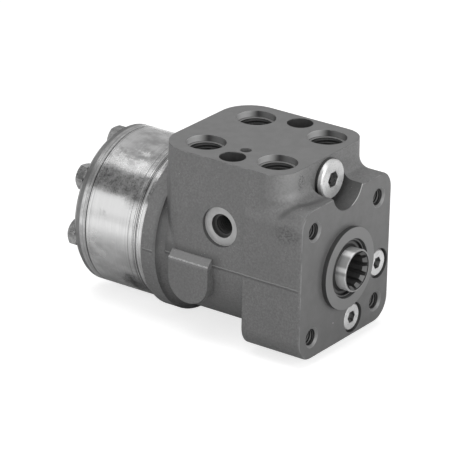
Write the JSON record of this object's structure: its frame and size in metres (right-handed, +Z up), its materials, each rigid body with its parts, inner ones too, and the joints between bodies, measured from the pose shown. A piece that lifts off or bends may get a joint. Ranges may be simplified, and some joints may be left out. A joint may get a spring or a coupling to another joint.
{
  "type": "orbital steering unit",
  "caption": "Orbital steering unit: cast housing with rotary valve, ported top face, splined input in a square flange, and a bolted gear set behind.",
  "frame": {"origin": "middle of the mounting flange's machined front face, on the spool's axis", "axes": "+Y runs back along the spool's axis to the end cover, +Z points up to the port face, +X points to the side with the two front valve plugs"},
  "size_m": [0.09, 0.1566, 0.1026],
  "materials": {
    "cast_iron": "dark phosphated casting, fine grain",
    "ground_steel": "turned and ground, bright",
    "valve_steel": "ground",
    "plated_steel": "zinc plated, bright",
    "hard_steel": "hardened and polished",
    "spring_steel": "blued",
    "cage_plastic": "moulded",
    "seal_rubber": "matte",
    "seal_plastic": "matte"
  },
  "bodies": {
    "housing": {"housing": "cast_iron", "gear_ring": "ground_steel", "distributor_plate": "ground_steel", "end_cover": "ground_steel", "relief_plug": "plated_steel", "relief_washer": "plated_steel", "shock_plug_lower": "plated_steel", "shock_plug_right": "plated_steel", "cover_screws": "plated_steel", "pin_screw": "plated_steel", "screw_washers": "plated_steel", "relief_adjuster": "plated_steel", "bearing_race_fixed": "hard_steel", "roll_pin": "hard_steel", "relief_seat": "hard_steel", "shock_seat_lower": "hard_steel", "shock_seat_right": "hard_steel", "relief_spring": "spring_steel", "shock_spring_lower": "spring_steel", "shock_spring_right": "spring_steel", "dust_seal": "seal_rubber", "face_o_rings": "seal_rubber", "shaft_seal": "seal_plastic"},
    "sleeve": {"control_sleeve": "valve_steel", "cross_pin": "hard_steel", "spring_ring": "valve_steel", "leaf_springs": "spring_steel"},
    "spool": {"control_spool": "valve_steel", "bearing_race_moving": "hard_steel"},
    "bearing": {"bearing_cage": "cage_plastic", "bearing_needles": "hard_steel"},
    "orbit": {"spacer": "valve_steel"},
    "rotor": {"rotor": "valve_steel"},
    "cardan": {"cardan_shaft": "valve_steel"},
    "relief_cone": {"relief_cone": "hard_steel"},
    "shock_ball_lower": {"shock_ball_lower": "hard_steel"},
    "shock_ball_right": {"shock_ball_right": "hard_steel"},
    "check_ball": {"check_ball": "hard_steel"}
  },
  "joints": [
    {"name": "sleeve_spin", "type": "hinge", "parent": "housing", "child": "sleeve", "pos_m": [0, 0.05, 0], "axis": [0, 1, 0], "continuous": true},
    {"name": "spool_slip", "type": "hinge", "parent": "sleeve", "child": "spool", "pos_m": [0, 0.021, 0], "axis": [0, 1, 0], "range_deg": [-8, 8], "stiffness_Nm_per_rad": 2, "deforming": ["leaf_springs"]},
    {"name": "bearing_roll", "type": "hinge", "parent": "housing", "child": "bearing", "pos_m": [0, 0.0125, 0], "axis": [0, 1, 0], "continuous": true},
    {"name": "rotor_orbit", "type": "hinge", "parent": "housing", "child": "orbit", "pos_m": [0, 0.119, 0], "axis": [0, 1, 0], "continuous": true},
    {"name": "rotor_spin", "type": "hinge", "parent": "orbit", "child": "rotor", "pos_m": [0, 0.119, 0.0035], "axis": [0, 1, 0], "continuous": true},
    {"name": "cardan_spin", "type": "hinge", "parent": "orbit", "child": "cardan", "pos_m": [0, 0.04, 0], "axis": [0, 0.999, 0.0451], "continuous": true},
    {"name": "relief_lift", "type": "slide", "parent": "housing", "child": "relief_cone", "axis": [0, -1, 0], "range_m": [0, 0.002], "stiffness_N_per_m": 300, "deforming": ["relief_spring"]},
    {"name": "shock_lift_lower", "type": "slide", "parent": "housing", "child": "shock_ball_lower", "axis": [0, -1, 0], "range_m": [0, 0.0015], "stiffness_N_per_m": 200, "deforming": ["shock_spring_lower"]},
    {"name": "shock_lift_right", "type": "slide", "parent": "housing", "child": "shock_ball_right", "axis": [0, -1, 0], "range_m": [0, 0.0015], "stiffness_N_per_m": 200, "deforming": ["shock_spring_right"]},
    {"name": "check_lift", "type": "slide", "parent": "housing", "child": "check_ball", "axis": [0, 1, 0], "range_m": [0, 0.0018]}
  ],
  "couplings": [
    {"joint": "bearing_roll", "follows": "sleeve_spin", "ratio": 0.5},
    {"joint": "rotor_orbit", "follows": "sleeve_spin", "ratio": -6},
    {"joint": "rotor_spin", "follows": "sleeve_spin", "ratio": 7},
    {"joint": "cardan_spin", "follows": "sleeve_spin", "ratio": 7}
  ]
}
